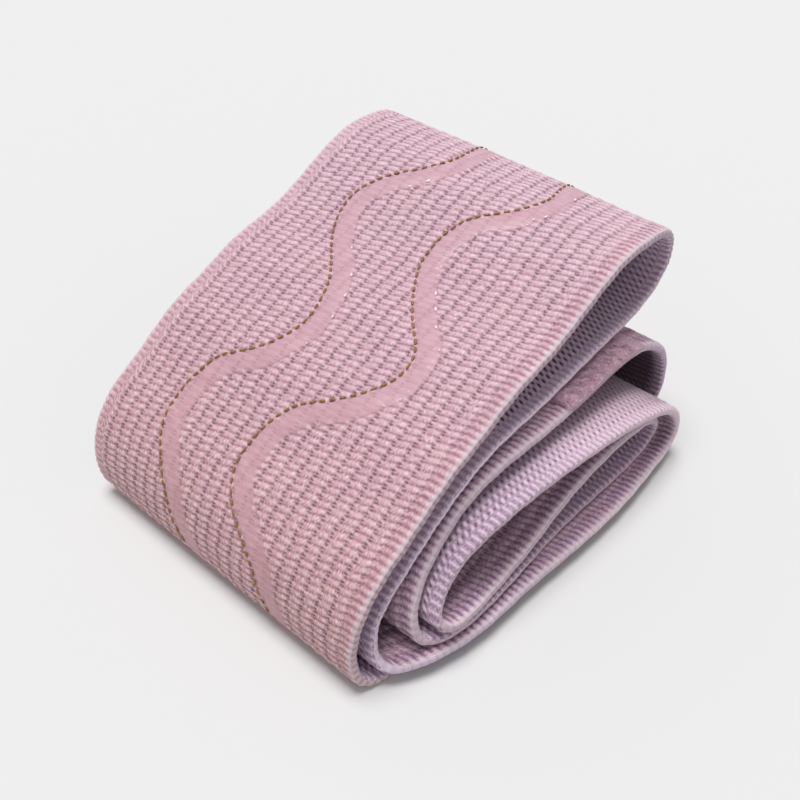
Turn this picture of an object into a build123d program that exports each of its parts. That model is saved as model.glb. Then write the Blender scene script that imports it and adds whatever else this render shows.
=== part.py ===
from build123d import *
import math
import os

import numpy as np

# Knitted elastic hip band, an 80 mm wide closed loop, flattened to a double strip and rolled
# flat into eight plies. Millimetres, +Z up, origin at the middle of the footprint on the surface
# that the folded band lies on. X runs along the folded stack, from the crease (-X) to the open
# turns (+X), and Y across the webbing.

# ---- driving dimensions ----
WIDTH = 80.0            # webbing width
T = 2.2                 # webbing thickness
Z_DROP = 0.05           # the centreline table is drawn for a ply resting this much higher
SHIFT_X = -52.3         # table's x, y to the footprint's middle
SHIFT_Y = 8.7
GRIP_T = 0.35           # height of a silicone grip wave above the knit
GRIP_W = 4.6            # its width
GRIP_GAP = 0.06         # clearance over the knit
WAVE_A = (16.0, 7.7)    # mean distance from the webbing's middle, and amplitude
WAVE_B = (-8.7, 8.0)
PEAK_1, PEAK_2 = 32.5, 92.5   # places of two wave crests, measured along the loop
WAVES_LEFT = 12               # whole waves in the rest of the loop
STITCH_PITCH = 2.0
STITCH = (1.3, 0.5, 0.35)     # length, width, height of one stitch of the gold thread
STITCH_SIDE = 3.0             # from the stitch line to the middle of its silicone wave
LAP = (61.0, 83.0)            # x of the lap seam's two ends on the outer middle ply
LAP_T = 0.95
SEAM_PITCH = 2.6
FLAT_END = 86.0         # x up to which the lowest ply lies flat

# ---- centreline of the folded loop: x, z and the y of the near selvedge ----
SEG = [
    ("top_ply", [(99.6, 53.3, -40), (93.7, 54.3, -40), (86.5, 54.9, -40), (80.3, 54.1, -40), (73.0, 51.7, -40), (66.5, 49.0, -40), (59.5, 46.6, -40), (52.6, 45.2, -40), (46.4, 43.9, -40), (41.2, 42.0, -40), (35.5, 39.7, -40), (29.5, 37.6, -40), (24.4, 35.1, -40), (19.7, 32.2, -40), (15.1, 29.3, -40), (11.3, 27.2, -40), (8.2, 25.3, -40), (5.4, 22.9, -40), (3.1, 20.2, -40), (1.2, 17.0, -40), (0.0, 13.6, -40)]),
    ("crease_outer", [(-0.9, 10.0, -40.2), (-1.2, 6.6, -40.8), (-0.8, 3.6, -41.8), (1.4, 1.6, -43.0), (5.0, 1.2, -44.0)]),
    ("bottom_ply_outer", [(16, 1.2, -45.5), (30, 1.2, -46.5), (45, 1.2, -47), (60, 1.2, -47), (75, 1.2, -47), (91, 1.2, -47)]),
    ("right_turn_outer", [(96.4, 1.9, -47), (100.2, 4.4, -47), (102.5, 8.2, -47), (103.1, 12.6, -47), (102.6, 17.0, -46.8), (101.0, 21.4, -46.6), (98.0, 25.3, -46.3), (94.2, 28.2, -45.8), (89.6, 30.0, -45.2)]),
    ("middle_ply_outer", [(84, 30.7, -44.8), (78, 30.8, -44.5), (70, 30.4, -44.3), (60, 30.3, -44), (50, 30.5, -43.5), (41, 30.1, -42.6), (34, 28.6, -41.9), (28, 26.1, -41.6)]),
    ("left_turn_outer", [(23.2, 23.2, -41.8), (18.8, 20.6, -42.3), (14.8, 17.3, -43.2), (12.1, 13.8, -44.4), (11.1, 10.5, -45.6), (11.7, 7.8, -46.9), (14.0, 6.5, -48.5)]),
    ("inner_ply_lower", [(18.5, 6.4, -50.2), (26, 6.4, -51.1), (37, 6.4, -51.3), (50, 6.4, -51.2), (62, 6.4, -51.8), (72, 6.4, -52.6), (80, 6.4, -53)]),
    ("inner_end_turn", [(85.2, 6.6, -53), (88.6, 7.8, -53), (89.9, 10.2, -53), (88.6, 12.9, -53), (84.6, 15.9, -53), (78.4, 18.0, -53)]),
    ("inner_ply_upper", [(72, 19.2, -52.8), (66, 19.1, -52.5), (60, 18.0, -52), (54, 16.2, -51.6), (48, 13.9, -51.3), (42, 11.6, -51.2), (36, 9.9, -51), (29, 9.1, -51.0), (22, 9.0, -51.0)]),
    ("left_turn_inner", [(17.8, 9.1, -50.5), (15.3, 10.3, -49.3), (15.1, 12.3, -48.0), (16.9, 14.5, -46.9), (19.6, 16.7, -46.3), (22.4, 18.9, -46.2)]),
    ("middle_ply_inner", [(25.8, 21.0, -46.6), (29.5, 22.8, -47.3), (34, 24.1, -48.1), (39, 24.8, -48.8), (46, 25.0, -49.7), (53, 24.8, -50.6), (62, 24.1, -51.8), (70, 23.1, -52.8), (78, 21.5, -53.8), (84, 19.6, -54.5)]),
    ("right_turn_inner", [(88.8, 17.4, -55), (92.4, 14.7, -55.4), (94.8, 11.4, -55.8), (95.4, 8.2, -56.2), (94.0, 5.5, -56.5), (90.8, 4.0, -56.8), (86, 3.8, -57)]),
    ("bottom_ply_inner", [(73, 3.8, -57.4), (59, 3.8, -56.7), (47, 3.8, -55.3), (36, 3.8, -54.0), (25, 3.8, -53.0), (17, 3.8, -51.4)]),
    ("crease_inner", [(11, 3.8, -49.3), (6.6, 3.9, -47.0), (3.9, 4.8, -44.7), (3.2, 7.0, -42.6), (3.9, 9.8, -41.2), (5.2, 12.6, -40.4), (7.0, 15.2, -40.1)]),
    ("second_ply", [(9.8, 17.9, -40), (13.4, 20.6, -40), (17.4, 23.4, -40), (22, 26.4, -40), (27, 29.2, -40), (33.5, 31.9, -40), (40.5, 33.5, -40), (47.5, 34.0, -40.1), (55, 34.0, -40.2), (62, 34.4, -40.3), (70, 35.1, -40.4), (78, 35.5, -40.4), (85, 35.5, -40.3), (91.5, 35.6, -40.2)]),
    ("top_turn", [(97.5, 36.4, -40), (102.2, 38.6, -40), (105.0, 41.9, -40), (105.8, 45.6, -40), (104.6, 49.4, -40), (102.4, 51.9, -40)]),
]
NAMES = [n for n, _ in SEG]
OUT = "parts"


def closed_spline(points):
    """Periodic cubic spline with centripetal spacing: returns knots, points and second derivatives."""
    q = np.vstack([points, points[:1]])
    t = np.concatenate([[0], np.cumsum(np.sqrt(np.hypot(np.diff(q[:, 0]), np.diff(q[:, 1]))))])
    n = len(points)
    h = np.diff(t)
    a, b = np.zeros((n, n)), np.zeros((n, 3))
    for i in range(n):
        hp, hn = h[i - 1], h[i]
        a[i, i - 1] += hp
        a[i, i] += 2 * (hp + hn)
        a[i, (i + 1) % n] += hn
        b[i] = 6 * ((q[i + 1] - q[i]) / hn - (q[i] - q[i - 1 if i else n - 1]) / hp)
    m = np.linalg.solve(a, b)
    return t, q, np.vstack([m, m[:1]])


def at(spline, u):
    t, q, m = spline
    i = np.clip(np.searchsorted(t, u, side="right") - 1, 0, len(t) - 2)
    h = (t[i + 1] - t[i])[:, None]
    a, b = (t[i + 1] - u)[:, None] / h, (u - t[i])[:, None] / h
    return a * q[i] + b * q[i + 1] + ((a**3 - a) * m[i] + (b**3 - b) * m[i + 1]) * h**2 / 6


table = np.array([p for _, pts in SEG for p in pts], float)
table[:, 1] -= Z_DROP
spline = closed_spline(table)
_u = np.linspace(0, spline[0][-1], 40001)
_d = at(spline, _u)
_s = np.concatenate([[0], np.cumsum(np.hypot(np.diff(_d[:, 0]), np.diff(_d[:, 1])))])
LOOP = float(_s[-1])
_first = np.cumsum([0] + [len(p) for _, p in SEG])
START = np.interp(spline[0][_first], _u, _s)      # where each node starts along the loop


def centre(s):
    """x, z, near y and the outward (outer face) normal at length s along the loop."""
    s = np.atleast_1d(np.asarray(s, float)) % LOOP
    u = np.interp(s, _s, _u)
    e = 1e-3
    p, a, b = at(spline, u), at(spline, (u - e) % spline[0][-1]), at(spline, (u + e) % spline[0][-1])
    d = b[:, :2] - a[:, :2]
    d /= np.linalg.norm(d, axis=1)[:, None]
    return p, np.stack([d[:, 1], -d[:, 0]], 1)


def place(s, across, height):
    """The point at length s, at `across` from the near selvedge, `height` outside the centreline."""
    p, n = centre(s)
    return np.stack([p[:, 0] + n[:, 0] * height + SHIFT_X, p[:, 2] + across + SHIFT_Y, p[:, 1] + n[:, 1] * height], 1)


def slab(s, near, far, low, high):
    """A closed solid over the stretch s of the loop, between two lines across it and two heights."""
    lines = {
        (k, h): Spline(*[tuple(v) for v in place(s, a, z)])
        for k, a in (("n", near), ("f", far))
        for h, z in (("l", low), ("h", high))
    }
    faces = [
        Face.make_surface_from_curves(lines["n", "h"], lines["f", "h"]),
        Face.make_surface_from_curves(lines["n", "l"], lines["f", "l"]),
        Face.make_surface_from_curves(lines["n", "l"], lines["n", "h"]),
        Face.make_surface_from_curves(lines["f", "l"], lines["f", "h"]),
    ]
    for end in (0, 1):
        c = {k: e @ end for k, e in lines.items()}
        faces.append(Face(Wire([Line(c["n", "l"], c["n", "h"]), Line(c["n", "h"], c["f", "h"]), Line(c["f", "h"], c["f", "l"]), Line(c["f", "l"], c["n", "l"])])))
    solid = Solid(Shell(faces))
    if solid.volume < 0:
        solid = Solid(Shell([-f for f in faces]))
    return solid


def stretch(name):
    i = NAMES.index(name)
    return START[i], START[i + 1]


def stations(a, b, step):
    return np.linspace(a, b, max(3, int(round((b - a) / step)) + 1))


def wave(kind, s):
    """Distance of a wave's stitch line from the near selvedge at length s."""
    mean, amp = kind
    s = np.asarray(s, float) % LOOP
    rest = LOOP - PEAK_2 + PEAK_1
    t = np.where((s >= PEAK_1) & (s <= PEAK_2), (s - PEAK_1) / (PEAK_2 - PEAK_1), ((s - PEAK_2) % LOOP) / rest * WAVES_LEFT)
    return WIDTH / 2 + mean + amp * np.cos(2 * math.pi * t)


def grip(kind, a, b):
    """One stretch of a silicone grip wave, a ribbon raised on the outer face."""
    s = stations(a, b, 2.5)
    mid = wave(kind, s) - STITCH_SIDE
    return slab(s, mid - GRIP_W / 2, mid + GRIP_W / 2, T / 2 + GRIP_GAP, T / 2 + GRIP_GAP + GRIP_T)


def stitch_box(s, across, along_s, along_y, size, height):
    """A small thread stitch on the outer face, laid in the direction (along_s, along_y)."""
    p = place(s, across, height)[0]
    q = place(s + 0.05 * along_s, across + 0.05 * along_y, height)[0]
    x = Vector(*(q - p)).normalized()
    _, n = centre(s)
    z = Vector(n[0, 0], 0, n[0, 1])
    plane = Plane(origin=Vector(*p), x_dir=x, z_dir=z)
    return plane * Box(size[0], size[1], size[2], align=(Align.CENTER, Align.CENTER, Align.MIN))


def gold_stitches(kind, a, b):
    """The decorative dashes along one edge of a grip wave."""
    out, s = [], a + 0.8
    while s < b - 0.8:
        d = float(wave(kind, s + 0.05) - wave(kind, s - 0.05)) / 0.1
        k = math.hypot(1, d)
        out.append(stitch_box(s, float(wave(kind, s)), 1 / k, d / k, STITCH, T / 2 + GRIP_GAP))
        s += STITCH_PITCH / k
    return Compound(children=out)


os.makedirs(OUT, exist_ok=True)
nodes = {}

# ---- the knitted webbing, one closed solid for each ply and each turn ----
for name in NAMES:
    a, b = stretch(name)
    nodes[name] = slab(stations(a, b, 1.6 if ("turn" in name or "crease" in name) else 3.0), 0.0, WIDTH, -T / 2, T / 2)


def flat_ply(a, b):
    """The stretch that lies flat on the surface: a prism with a planar underside at z = 0."""
    p, _ = centre(stations(a, b, 5.0))
    near = [(v[0] + SHIFT_X, v[2] + SHIFT_Y, 0) for v in p]
    far = [(x, y + WIDTH, 0) for x, y, _ in near]
    outline = Wire([Spline(*near), Line(near[-1], far[-1]), Spline(*far[::-1]), Line(far[0], near[0])])
    return extrude(Face(outline), T, dir=(0, 0, 1))


# the lowest ply is flat up to where it begins to rise into the right turn
a, b = stretch("bottom_ply_outer")
rise = float(np.interp(FLAT_END, centre(stations(a, b, 0.5))[0][:, 0], stations(a, b, 0.5)))
nodes["bottom_ply_outer"] = (flat_ply(a, rise + 0.2) + slab(stations(rise, b, 1.6), 0.0, WIDTH, -T / 2, T / 2)).solids()[0]

# ---- silicone grip waves on the outer face ----
GRIPPED = ["top_ply", "top_turn", "second_ply", "crease_outer", "right_turn_outer", "middle_ply_outer"]
for name in GRIPPED:
    a, b = stretch(name)
    if name == "crease_outer":
        b = a + 7.0
    if name == "right_turn_outer":
        a = a + 8.0
    if name == "middle_ply_outer":
        a = float(np.interp(-LAP[0], -centre(stations(a, b, 0.5))[0][:, 0], stations(a, b, 0.5))) + 1.0
    for letter, kind in (("a", WAVE_A), ("b", WAVE_B)):
        nodes[f"grip_wave_{letter}_{name}"] = grip(kind, a + 0.15, b - 0.15)

# ---- gold thread along the waves ----
for name in ("top_ply", "top_turn"):
    a, b = stretch(name)
    for letter, kind in (("a", WAVE_A), ("b", WAVE_B)):
        nodes[f"gold_stitches_{letter}_{name}"] = gold_stitches(kind, a, b)

# ---- lap seam that closes the loop, with its two rows of stitching ----
a, b = stretch("middle_ply_outer")
fine = stations(a, b, 0.5)
x = centre(fine)[0][:, 0]
s_far, s_near = (float(np.interp(-v, -x, fine)) for v in LAP[::-1])
nodes["seam_lap_end"] = slab(stations(s_far, s_near, 3.0), 0.4, WIDTH - 0.4, T / 2 + GRIP_GAP, T / 2 + GRIP_GAP + LAP_T)
rows = []
for s in (s_far + 2.5, s_near - 2.5):
    y = 2.5
    while y < WIDTH - 2:
        rows.append(stitch_box(s, y, 0.0, 1.0, (1.5, 0.5, 0.3), T / 2 + GRIP_GAP + LAP_T + 0.03))
        y += SEAM_PITCH
nodes["seam_stitching"] = Compound(children=rows)

low, high = np.full(3, 1e9), np.full(3, -1e9)
for name, shape in nodes.items():
    box = shape.bounding_box()
    low, high = np.minimum(low, tuple(box.min)), np.maximum(high, tuple(box.max))
    export_step(shape, os.path.join(OUT, f"{name}.step"))
print("loop length", round(LOOP, 1), "nodes", len(nodes))
print("box", low.round(2), high.round(2))
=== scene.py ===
import math
import random

import bpy
import numpy as np
from mathutils import Matrix, Vector


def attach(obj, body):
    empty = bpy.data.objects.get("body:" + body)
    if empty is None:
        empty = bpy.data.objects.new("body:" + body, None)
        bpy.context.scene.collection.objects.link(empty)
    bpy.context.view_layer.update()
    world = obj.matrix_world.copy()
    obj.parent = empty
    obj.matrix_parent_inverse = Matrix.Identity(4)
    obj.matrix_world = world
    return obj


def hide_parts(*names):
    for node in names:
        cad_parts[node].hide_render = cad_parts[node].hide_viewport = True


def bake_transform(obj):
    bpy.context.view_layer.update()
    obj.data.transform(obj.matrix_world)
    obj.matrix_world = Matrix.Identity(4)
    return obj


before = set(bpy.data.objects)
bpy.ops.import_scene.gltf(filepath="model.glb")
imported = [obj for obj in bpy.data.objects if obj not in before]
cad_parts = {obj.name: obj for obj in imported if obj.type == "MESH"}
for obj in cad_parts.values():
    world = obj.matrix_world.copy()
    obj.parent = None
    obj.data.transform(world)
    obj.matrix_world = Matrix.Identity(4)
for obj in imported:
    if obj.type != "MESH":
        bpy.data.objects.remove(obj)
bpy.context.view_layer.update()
random.seed(7)
rng = np.random.default_rng(7)

# ------------------------------------------------------------------ the folded loop (as in the CAD)
WIDTH, T, Z_DROP, SHIFT_X, SHIFT_Y = 80.0, 2.2, 0.05, -52.3, 8.7
PITCH_A = 3.41          # knit: wale spacing across the webbing
SEG = [
    ("top_ply", [(99.6, 53.3, -40), (93.7, 54.3, -40), (86.5, 54.9, -40), (80.3, 54.1, -40), (73.0, 51.7, -40), (66.5, 49.0, -40), (59.5, 46.6, -40), (52.6, 45.2, -40), (46.4, 43.9, -40), (41.2, 42.0, -40), (35.5, 39.7, -40), (29.5, 37.6, -40), (24.4, 35.1, -40), (19.7, 32.2, -40), (15.1, 29.3, -40), (11.3, 27.2, -40), (8.2, 25.3, -40), (5.4, 22.9, -40), (3.1, 20.2, -40), (1.2, 17.0, -40), (0.0, 13.6, -40)]),
    ("crease_outer", [(-0.9, 10.0, -40.2), (-1.2, 6.6, -40.8), (-0.8, 3.6, -41.8), (1.4, 1.6, -43.0), (5.0, 1.2, -44.0)]),
    ("bottom_ply_outer", [(16, 1.2, -45.5), (30, 1.2, -46.5), (45, 1.2, -47), (60, 1.2, -47), (75, 1.2, -47), (91, 1.2, -47)]),
    ("right_turn_outer", [(96.4, 1.9, -47), (100.2, 4.4, -47), (102.5, 8.2, -47), (103.1, 12.6, -47), (102.6, 17.0, -46.8), (101.0, 21.4, -46.6), (98.0, 25.3, -46.3), (94.2, 28.2, -45.8), (89.6, 30.0, -45.2)]),
    ("middle_ply_outer", [(84, 30.7, -44.8), (78, 30.8, -44.5), (70, 30.4, -44.3), (60, 30.3, -44), (50, 30.5, -43.5), (41, 30.1, -42.6), (34, 28.6, -41.9), (28, 26.1, -41.6)]),
    ("left_turn_outer", [(23.2, 23.2, -41.8), (18.8, 20.6, -42.3), (14.8, 17.3, -43.2), (12.1, 13.8, -44.4), (11.1, 10.5, -45.6), (11.7, 7.8, -46.9), (14.0, 6.5, -48.5)]),
    ("inner_ply_lower", [(18.5, 6.4, -50.2), (26, 6.4, -51.1), (37, 6.4, -51.3), (50, 6.4, -51.2), (62, 6.4, -51.8), (72, 6.4, -52.6), (80, 6.4, -53)]),
    ("inner_end_turn", [(85.2, 6.6, -53), (88.6, 7.8, -53), (89.9, 10.2, -53), (88.6, 12.9, -53), (84.6, 15.9, -53), (78.4, 18.0, -53)]),
    ("inner_ply_upper", [(72, 19.2, -52.8), (66, 19.1, -52.5), (60, 18.0, -52), (54, 16.2, -51.6), (48, 13.9, -51.3), (42, 11.6, -51.2), (36, 9.9, -51), (29, 9.1, -51.0), (22, 9.0, -51.0)]),
    ("left_turn_inner", [(17.8, 9.1, -50.5), (15.3, 10.3, -49.3), (15.1, 12.3, -48.0), (16.9, 14.5, -46.9), (19.6, 16.7, -46.3), (22.4, 18.9, -46.2)]),
    ("middle_ply_inner", [(25.8, 21.0, -46.6), (29.5, 22.8, -47.3), (34, 24.1, -48.1), (39, 24.8, -48.8), (46, 25.0, -49.7), (53, 24.8, -50.6), (62, 24.1, -51.8), (70, 23.1, -52.8), (78, 21.5, -53.8), (84, 19.6, -54.5)]),
    ("right_turn_inner", [(88.8, 17.4, -55), (92.4, 14.7, -55.4), (94.8, 11.4, -55.8), (95.4, 8.2, -56.2), (94.0, 5.5, -56.5), (90.8, 4.0, -56.8), (86, 3.8, -57)]),
    ("bottom_ply_inner", [(73, 3.8, -57.4), (59, 3.8, -56.7), (47, 3.8, -55.3), (36, 3.8, -54.0), (25, 3.8, -53.0), (17, 3.8, -51.4)]),
    ("crease_inner", [(11, 3.8, -49.3), (6.6, 3.9, -47.0), (3.9, 4.8, -44.7), (3.2, 7.0, -42.6), (3.9, 9.8, -41.2), (5.2, 12.6, -40.4), (7.0, 15.2, -40.1)]),
    ("second_ply", [(9.8, 17.9, -40), (13.4, 20.6, -40), (17.4, 23.4, -40), (22, 26.4, -40), (27, 29.2, -40), (33.5, 31.9, -40), (40.5, 33.5, -40), (47.5, 34.0, -40.1), (55, 34.0, -40.2), (62, 34.4, -40.3), (70, 35.1, -40.4), (78, 35.5, -40.4), (85, 35.5, -40.3), (91.5, 35.6, -40.2)]),
    ("top_turn", [(97.5, 36.4, -40), (102.2, 38.6, -40), (105.0, 41.9, -40), (105.8, 45.6, -40), (104.6, 49.4, -40), (102.4, 51.9, -40)]),
]
NAMES = [n for n, _ in SEG]


def closed_spline(points):
    q = np.vstack([points, points[:1]])
    t = np.concatenate([[0], np.cumsum(np.sqrt(np.hypot(np.diff(q[:, 0]), np.diff(q[:, 1]))))])
    n = len(points)
    h = np.diff(t)
    a, b = np.zeros((n, n)), np.zeros((n, 3))
    for i in range(n):
        hp, hn = h[i - 1], h[i]
        a[i, i - 1] += hp
        a[i, i] += 2 * (hp + hn)
        a[i, (i + 1) % n] += hn
        b[i] = 6 * ((q[i + 1] - q[i]) / hn - (q[i] - q[i - 1 if i else n - 1]) / hp)
    m = np.linalg.solve(a, b)
    return t, q, np.vstack([m, m[:1]])


def at(spline, u):
    t, q, m = spline
    i = np.clip(np.searchsorted(t, u, side="right") - 1, 0, len(t) - 2)
    h = (t[i + 1] - t[i])[:, None]
    a, b = (t[i + 1] - u)[:, None] / h, (u - t[i])[:, None] / h
    return a * q[i] + b * q[i + 1] + ((a**3 - a) * m[i] + (b**3 - b) * m[i + 1]) * h**2 / 6


table = np.array([p for _, pts in SEG for p in pts], float)
table[:, 1] -= Z_DROP
spline = closed_spline(table)
_u = np.linspace(0, spline[0][-1], 40001)
_d = at(spline, _u)
_s = np.concatenate([[0], np.cumsum(np.hypot(np.diff(_d[:, 0]), np.diff(_d[:, 1])))])
LOOP = float(_s[-1])
PITCH_S = LOOP / 519    # knit: course spacing along the loop, about 1.59 mm
_first = np.cumsum([0] + [len(p) for _, p in SEG])
START = np.interp(spline[0][_first], _u, _s)
S0 = {n: float(START[i]) for i, n in enumerate(NAMES)}


def centre(s):
    """x, z, near y and the outward (outer face) normal at length s along the loop."""
    s = np.atleast_1d(np.asarray(s, float)) % LOOP
    u = np.interp(s, _s, _u)
    e = 2e-2
    p, a, b = at(spline, u), at(spline, (u - e) % spline[0][-1]), at(spline, (u + e) % spline[0][-1])
    d = b[:, :2] - a[:, :2]
    d /= np.linalg.norm(d, axis=1)[:, None]
    return p, np.stack([d[:, 1], -d[:, 0]], 1)


def smooth(x, lo, hi):
    t = np.clip((np.asarray(x, float) - lo) / (hi - lo), 0, 1)
    return t * t * (3 - 2 * t)


def place(s, across, height):
    """Points (arrays) at length s, at `across` from the near selvedge, `height` outside the centreline; in metres."""
    s, across, height = np.broadcast_arrays(np.asarray(s, float), np.asarray(across, float), np.asarray(height, float))
    shape = s.shape
    line, back = np.unique(s.ravel() % LOOP, return_inverse=True)
    p, n = centre(line)
    p, n = p[back], n[back]
    a, h = across.ravel(), height.ravel()
    x = p[:, 0] + n[:, 0] * h + SHIFT_X
    y = p[:, 2] + a + SHIFT_Y
    z = p[:, 1] + n[:, 1] * h
    # the far part of the crest stands a little higher and further out than the near part
    crest = np.exp(-(((p[:, 0] - 97) / 17.0) ** 2)) * smooth(z, 40, 50)
    far = smooth(y, -25, 25)
    z = z + 1.2 * crest * far
    y = y + 1.3 * crest * smooth(a, 45, 80)
    # gentle unevenness of a soft band
    z = z + 0.07 * np.sin(a * 0.115 + line[back] * 0.021) * smooth(p[:, 1], 6, 20)
    return (np.stack([x, y, z], 1) * 0.001).reshape(shape + (3,))


# ------------------------------------------------------------------ the stitched waves
LINE_A = [(-2.0, 10.8), (0.7, 10.5), (3.2, 10.3), (7.2, 10.0), (10.1, 10.1), (12.4, 10.9), (14.7, 12.1), (16.2, 13.1), (17.6, 14.1), (20.3, 17.5), (23.7, 20.5), (27.5, 22.8), (31.5, 23.9), (36.1, 23.2), (40.6, 21.2), (44.7, 18.2), (49.1, 13.9), (53.9, 10.3), (58.7, 8.7), (63.6, 8.2), (68.3, 9.7), (72.5, 11.8), (76.2, 15.3), (78.9, 19.5), (82.6, 21.4), (87.7, 22.9), (92.4, 23.2), (96.7, 22.6), (100.5, 20.9), (105.9, 17.2), (109.8, 14.8), (114.5, 12.6), (120.3, 10.9)]
LINE_B = [(-2.0, -13.9), (1.5, -14.3), (4.4, -14.8), (8.6, -15.7), (12.8, -14.9), (16.5, -12.9), (19.3, -10.0), (21.7, -6.9), (23.8, -4.7), (26.5, -3.7), (29.5, -2.6), (33.0, -2.2), (37.8, -2.5), (41.9, -4.3), (46.6, -7.3), (50.7, -10.4), (54.2, -14.0), (56.5, -16.6), (59.6, -18.2), (62.8, -18.1), (66.1, -17.0), (71.4, -13.4), (75.2, -9.3), (78.6, -4.3), (80.8, -2.3), (85.0, -0.3), (88.8, 0.7), (92.9, 1.0), (97.3, 0.4), (100.8, -1.5), (103.9, -4.0), (106.4, -7.1), (108.8, -9.8), (112.7, -13.2), (116.9, -16.0)]
WAVES = {"a": (16.0, 7.7, LINE_A), "b": (-8.7, 8.0, LINE_B)}
PEAK_1, PEAK_2, WAVES_LEFT = 32.5, 92.5, 12


def _wave_table(kind):
    mean, amp, line = WAVES[kind]
    s = np.arange(0, LOOP, 0.5)
    rest = LOOP - PEAK_2 + PEAK_1
    t = np.where((s >= PEAK_1) & (s <= PEAK_2), (s - PEAK_1) / (PEAK_2 - PEAK_1), ((s - PEAK_2) % LOOP) / rest * WAVES_LEFT)
    y = mean + amp * np.cos(2 * math.pi * t)
    line = np.array(line)
    away = (s + 60) % LOOP - 60
    seen = np.interp(away, line[:, 0], line[:, 1])
    w = smooth(away, -12, -2) * (1 - smooth(away, line[-1, 0] - 6, line[-1, 0] + 1))
    y = y * (1 - w) + seen * w
    k = np.exp(-0.5 * (np.arange(-8, 9) * 0.5 / 1.3) ** 2)
    k /= k.sum()
    y = np.convolve(np.concatenate([y[-8:], y, y[:8]]), k, "valid")
    return s, y + WIDTH / 2


TABLES = {k: _wave_table(k) for k in WAVES}
SIDE = 2.9          # from a stitch line to the middle of its silicone wave
HALF = 2.5          # half width of a silicone wave


def wave(kind, s):
    ts, ty = TABLES[kind]
    return np.interp(np.asarray(s, float) % LOOP, np.append(ts, LOOP), np.append(ty, ty[0]))


def offset_line(kind, s, d):
    """The line at distance d to the near side of the stitch line, as (s, across)."""
    s = np.asarray(s, float)
    g = (wave(kind, s + 0.25) - wave(kind, s - 0.25)) / 0.5
    k = np.sqrt(1 + g * g)
    return s + g / k * d, wave(kind, s) - d / k


# ------------------------------------------------------------------ knit relief
def tri(x):
    return 2 * np.abs(2 * (x - np.floor(x + 0.5))) - 1


def frac0(x):
    return x - np.floor(x + 0.5)


def gripped(s, a):
    """1 where silicone covers the knit."""
    out = np.zeros(np.broadcast(s, a).shape)
    for kind in WAVES:
        g = (wave(kind, s + 0.25) - wave(kind, s - 0.25)) / 0.5
        d = (wave(kind, s) - a) / np.sqrt(1 + g * g)
        out = np.maximum(out, smooth(d, -0.2, 0.9) * (1 - smooth(d, SIDE + HALF - 1.2, SIDE + HALF + 0.2)))
    return out


def outer_relief(s, a):
    border = 1 - smooth(a, 2.6, 4.2) * (1 - smooth(a, WIDTH - 4.2, WIDTH - 2.6))
    u = a * 0.293 + 0.045 * np.sin(s * 1.31) + 0.035 * np.sin(s * 0.37 + a * 0.21)
    v = s / PITCH_S - a * 0.0285 * (1 - border) + 0.05 * np.sin(a * 0.83) * (1 - border)
    g = v - (0.1 + 0.4 * (u - np.floor(u))) * (1 - border)
    bar = 0.5 - 0.5 * np.cos(2 * np.pi * g)
    du = frac0(u) / 0.293
    pit = np.zeros_like(v)
    for dv in (0.5, 0.1):
        d = frac0(v - dv) * PITCH_S
        pit = np.maximum(pit, np.exp(-((du / 0.5) ** 2) - (d / 0.23) ** 2))
    blob = np.exp(-(((du - 0.9) / 0.7) ** 2)) * bar
    body = 0.17 * bar + 0.14 * blob - 0.30 * pit
    edge = 0.20 * bar
    return border * edge + (1 - border) * body


def inner_relief(s, a):
    border = 1 - smooth(a, 1.6, 2.6) * (1 - smooth(a, WIDTH - 2.6, WIDTH - 1.6))
    loops = 0.5 + 0.25 * (np.cos(2 * np.pi * (s / PITCH_S - 0.53 * a)) + np.cos(2 * np.pi * (s / PITCH_S + 0.07 * a)))
    bar = 0.5 + 0.5 * np.cos(2 * np.pi * s / PITCH_S)
    return border * 0.16 * bar + (1 - border) * 0.34 * (loops - 0.15)


def material_slots(mesh, mats):
    for m in mats:
        mesh.materials.append(m)


def grid_mesh(name, P, uv, mats, index, close_u=True, caps=False):
    """P: (n stations, m around, 3) points of a strip that is closed around; index: material of each column of faces."""
    n, m = P.shape[:2]
    verts = P.reshape(-1, 3)
    i = np.arange(n - 1)[:, None] * m
    j = np.arange(m if close_u else m - 1)[None, :]
    jn = (j + 1) % m
    quads = np.stack([i + j, i + jn, i + m + jn, i + m + j], -1).reshape(-1, 4)
    cols = m if close_u else m - 1
    mesh = bpy.data.meshes.new(name)
    mesh.vertices.add(len(verts))
    mesh.vertices.foreach_set("co", verts.astype(np.float32).ravel())
    mesh.loops.add(quads.size)
    mesh.loops.foreach_set("vertex_index", quads.astype(np.int32).ravel())
    mesh.polygons.add(len(quads))
    mesh.polygons.foreach_set("loop_start", np.arange(0, quads.size, 4, dtype=np.int32))
    mesh.polygons.foreach_set("loop_total", np.full(len(quads), 4, dtype=np.int32))
    idx = np.tile(np.asarray(index, dtype=np.int32)[:cols], n - 1)
    mesh.polygons.foreach_set("material_index", idx)
    mesh.polygons.foreach_set("use_smooth", np.ones(len(quads), dtype=bool))
    # uv: per station/column, with the wrap column duplicated by value
    U = uv.reshape(n, -1, 2)
    k = np.arange(cols)
    kn = k + 1 if U.shape[1] > cols else (k + 1) % U.shape[1]
    quv = np.stack([U[:-1][:, k], U[:-1][:, kn], U[1:][:, k], U[1:][:, kn]], 2)   # n-1, cols, 4, 2
    quv = quv[:, :, [0, 1, 3, 2]]
    layer = mesh.uv_layers.new(name="UVMap")
    layer.data.foreach_set("uv", quv.astype(np.float32).ravel())
    material_slots(mesh, mats)
    mesh.update()
    mesh.validate()
    ob = bpy.data.objects.new(name, mesh)
    bpy.context.collection.objects.link(ob)
    return ob


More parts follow.
